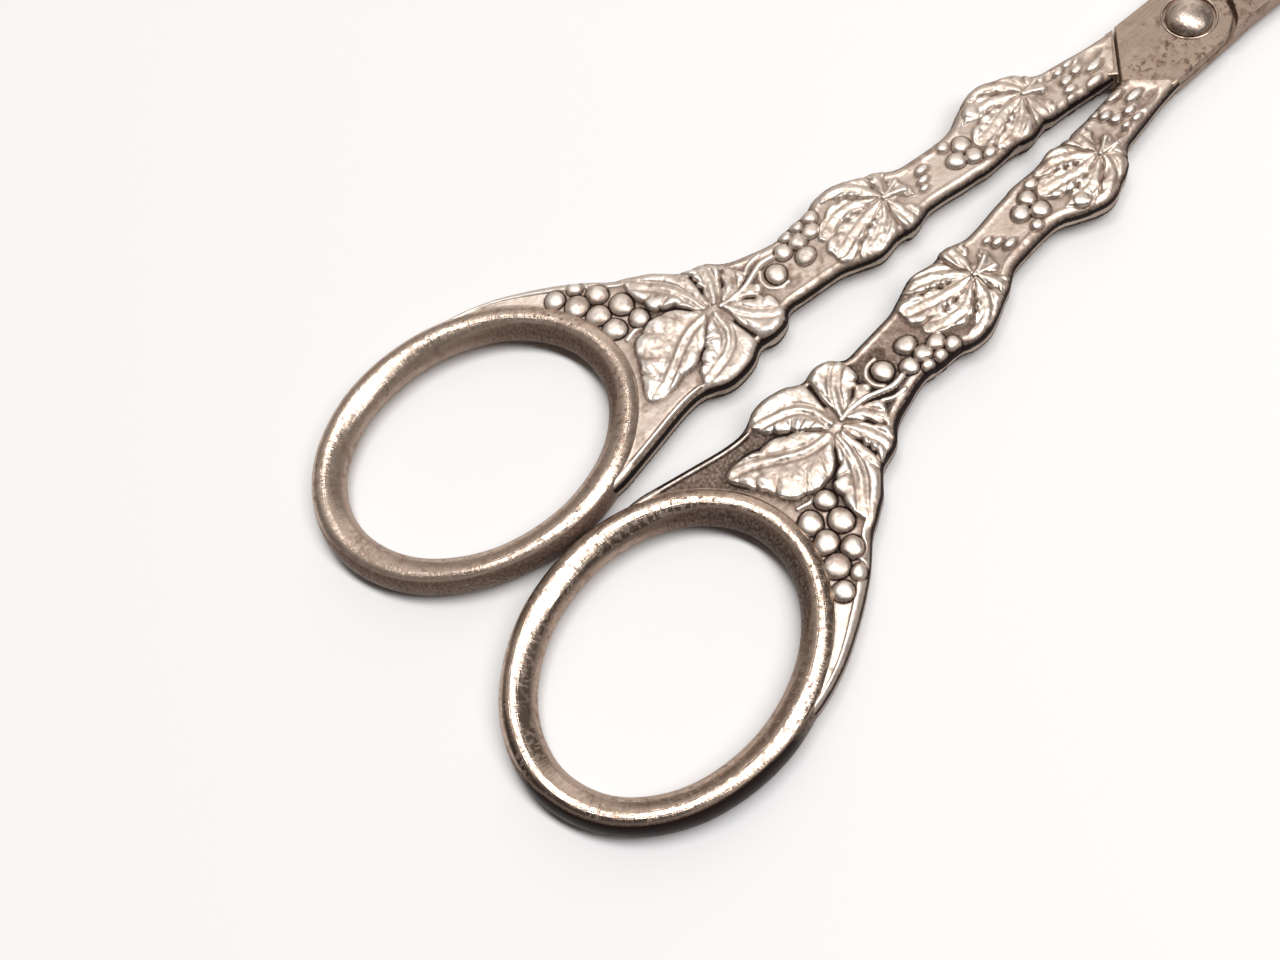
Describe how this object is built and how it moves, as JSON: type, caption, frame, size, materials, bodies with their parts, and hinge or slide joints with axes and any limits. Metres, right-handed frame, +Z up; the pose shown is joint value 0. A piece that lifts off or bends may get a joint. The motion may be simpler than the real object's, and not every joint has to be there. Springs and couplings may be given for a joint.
{
  "type": "grape shears",
  "caption": "Table grape shears with oval finger bows, vine-leaf shanks with grape clusters, a half-lap boss and flush-nesting blades on a domed rivet.",
  "frame": {"origin": "under the middle of the closed shears, on the surface that they lie on", "axes": "+Y along the blades towards their tips, +X towards the right bow, +Z up off the table, along the rivet"},
  "size_m": [0.0594, 0.1656, 0.004],
  "materials": {
    "arm_silver": "worn silver plate, warm, tarnished in the hollows",
    "rivet_silver": "polished silver plate"
  },
  "bodies": {
    "left_arm": {"left_arm": "arm_silver", "pivot_rivet": "rivet_silver"},
    "right_arm": {"right_arm": "arm_silver"}
  },
  "joints": [
    {"name": "pivot", "type": "hinge", "parent": "left_arm", "child": "right_arm", "pos_m": [0, 0.01878, 0.0018], "axis": [0, 0, 1], "range_deg": [0, 30]}
  ]
}
